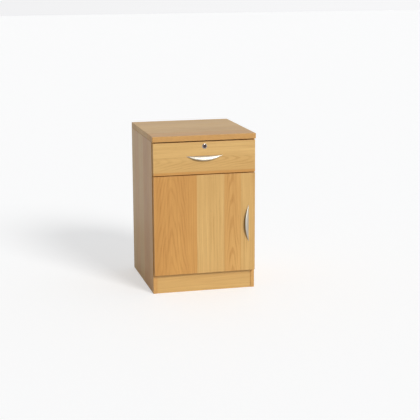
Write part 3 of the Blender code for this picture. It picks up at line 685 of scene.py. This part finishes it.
def make_screws(steel, dark):
    """The screws of the hinges and runners, and the pins of the back panel."""
    groups = {"cabinet": [], "door": [], "drawer": []}
    hinge_screws(groups["door"], groups["cabinet"])
    runner_screws(groups["drawer"], groups["cabinet"])
    for z in PIN_ROWS:
        for k in range(PIN_COUNT):
            groups["cabinet"].append(((PIN_START + PIN_STEP * k, BACK_REAR, z), (0, 1, 0), *BACK_PIN))
    for body, screws in groups.items():
        heads, recess_shades = bmesh.new(), bmesh.new()
        for item in screws:
            screw(heads, recess_shades, *item)
        mesh = finished(heads, f"screw_heads_{body}")
        new_piece(f"screw_heads_{body}", mesh, (steel,), body)
        # The dark crosses are painted shade for the cross recesses.
        mesh = finished(recess_shades, f"screw_recess_shades_{body}")
        new_piece(f"screw_recess_shades_{body}", mesh, (dark,), body)


# ---------------------------------------------------------------- hardware
def dress_hardware():
    """Materials of the CAD nodes that aren't boards, and the pieces that replace or join them."""
    nickel_x = metal("satin_nickel_x", (0.74, 0.70, 0.61), 0.50, brushed=X)
    nickel_z = metal("satin_nickel_z", (0.74, 0.70, 0.61), 0.50, brushed=Z)
    chrome = metal("lock_nickel", (0.70, 0.68, 0.66), 0.20, mottle=0.06)
    # The plug's dark colour is a painted dark reflection in the lock's polished face.
    lock_face_dark_reflection = metal("lock_face_painted_reflection", (0.17, 0.115, 0.115), 0.36)
    # The handles' hollow inside is painted dark brown: painted shade.
    shell_inside_shade = metal("handle_inside_painted_shade", (0.16, 0.105, 0.060), 0.55, mottle=0.2)
    # The strike sits in the gap above the drawer; its near black brown is painted shade for that gap.
    strike_gap_shade = metal("strike_painted_shade", (0.115, 0.072, 0.040), 0.48, mottle=0.15)
    zinc = metal("bright_zinc", (0.60, 0.61, 0.62), 0.34, mottle=0.18, spangle=True)
    screw_zinc = metal("screw_zinc", (0.64, 0.62, 0.56), 0.30)
    enamel = plastic("cream_powder_coat", (0.80, 0.78, 0.72), 0.42, grain=900.0, dirt_and_crevice_shade=0.08)
    nylon = plastic("white_nylon", (0.78, 0.77, 0.72), 0.50)
    rubber = plastic("dark_rubber", (0.035, 0.033, 0.031), 0.62)
    # A near black that paints the shade of the keyway and of the screws' cross recesses.
    slot_and_recess_shade = plastic("painted_recess_shade", (0.022, 0.020, 0.019), 0.55)
    finishes = (  # the start of a node's name and its material; the first that fits is used
        ("lock_strike", strike_gap_shade),
        ("lock_plug", chrome),
        ("lock_housing", chrome),
        ("lock_", zinc),
        ("hinge_", zinc),
        ("shelf_pin", zinc),
        ("runner_axle", zinc),
        ("runner_wheel", nylon),
        ("runner_", enamel),
        ("door_handle_screw", screw_zinc),
        ("drawer_handle_screw", screw_zinc),
        ("door_handle", nickel_x),
        ("drawer_handle", nickel_x),
        ("door_bumper", rubber),
    )
    for node in NODES:
        fitting = [material for start, material in finishes if node.startswith(start)]
        if fitting:
            give(node, fitting[0])
    make_handles(nickel_x, nickel_z, shell_inside_shade)
    make_lock_ring(chrome, lock_face_dark_reflection)
    make_lock_plug(lock_face_dark_reflection)
    make_keyway(slot_and_recess_shade)
    make_screws(screw_zinc, slot_and_recess_shade)


# ---------------------------------------------------------------- studio
FLOOR_HALF = 30.0
SUN_DIRECTION = (0.33, -0.78, 0.50)
SKY = ((0.0, 0.74), (0.30, 0.60), (0.62, 0.44), (1.0, 0.40))  # (height, level)
SKY_SLOPE = (0.26, 0.32, 0.0)  # brighter behind and to the right, darker to the left and in front
SKY_STRENGTH = 0.86


def add_floor():
    """A pale floor. It glows a little, and more for the camera alone, so that it shows near white."""
    bm = bmesh.new()
    bmesh.ops.create_grid(bm, x_segments=8, y_segments=8, size=FLOOR_HALF)
    mesh = bpy.data.meshes.new("studio_floor")
    bm.to_mesh(mesh)
    bm.free()
    floor = bpy.data.objects.new("studio_floor", mesh)
    SCENE.collection.objects.link(floor)
    material, n = new_material("studio_floor")
    path = n.new("ShaderNodeLightPath")
    glow = n.plus(0.10, path.outputs["Is Camera Ray"], 0.38)
    n.shade(Base_Color=(0.625, 0.635, 0.65, 1.0), Roughness=0.75, Specular_IOR_Level=0.2)
    n.shade(Emission_Color=(1.0, 1.0, 0.995, 1.0), Emission_Strength=glow)
    floor.data.materials.append(material)


def add_sun():
    sun = bpy.data.lights.new("key", "SUN")
    sun.energy = 2.15
    sun.angle = math.radians(20)
    sun.color = (1.0, 0.985, 0.955)
    key = bpy.data.objects.new("key", sun)
    key.rotation_euler = Vector(SUN_DIRECTION).to_track_quat("Z", "Y").to_euler()
    SCENE.collection.objects.link(key)


def add_sky():
    world = bpy.data.worlds.new("studio")
    SCENE.world = world
    world.use_nodes = True
    n = Nodes(world.node_tree, "Background")
    direction = n.place("Generated")
    stops = [(height, (level, level, 1.01 * level)) for height, level in SKY]
    slope = n.new("ShaderNodeVectorMath", operation="DOT_PRODUCT")
    slope.inputs[1].default_value = SKY_SLOPE
    n.link(direction, slope.inputs[0])
    strength = n.math("ADD", slope.outputs["Value"], SKY_STRENGTH)
    n.shade(Color=n.ramp(n.axis(direction, Z), stops, "LINEAR"), Strength=strength)
    SCENE.view_settings.view_transform = "Standard"
    SCENE.view_settings.look = "None"


add_camera()
dress_boards()
dress_inner_boards()
dress_hardware()
add_floor()
add_sun()
add_sky()
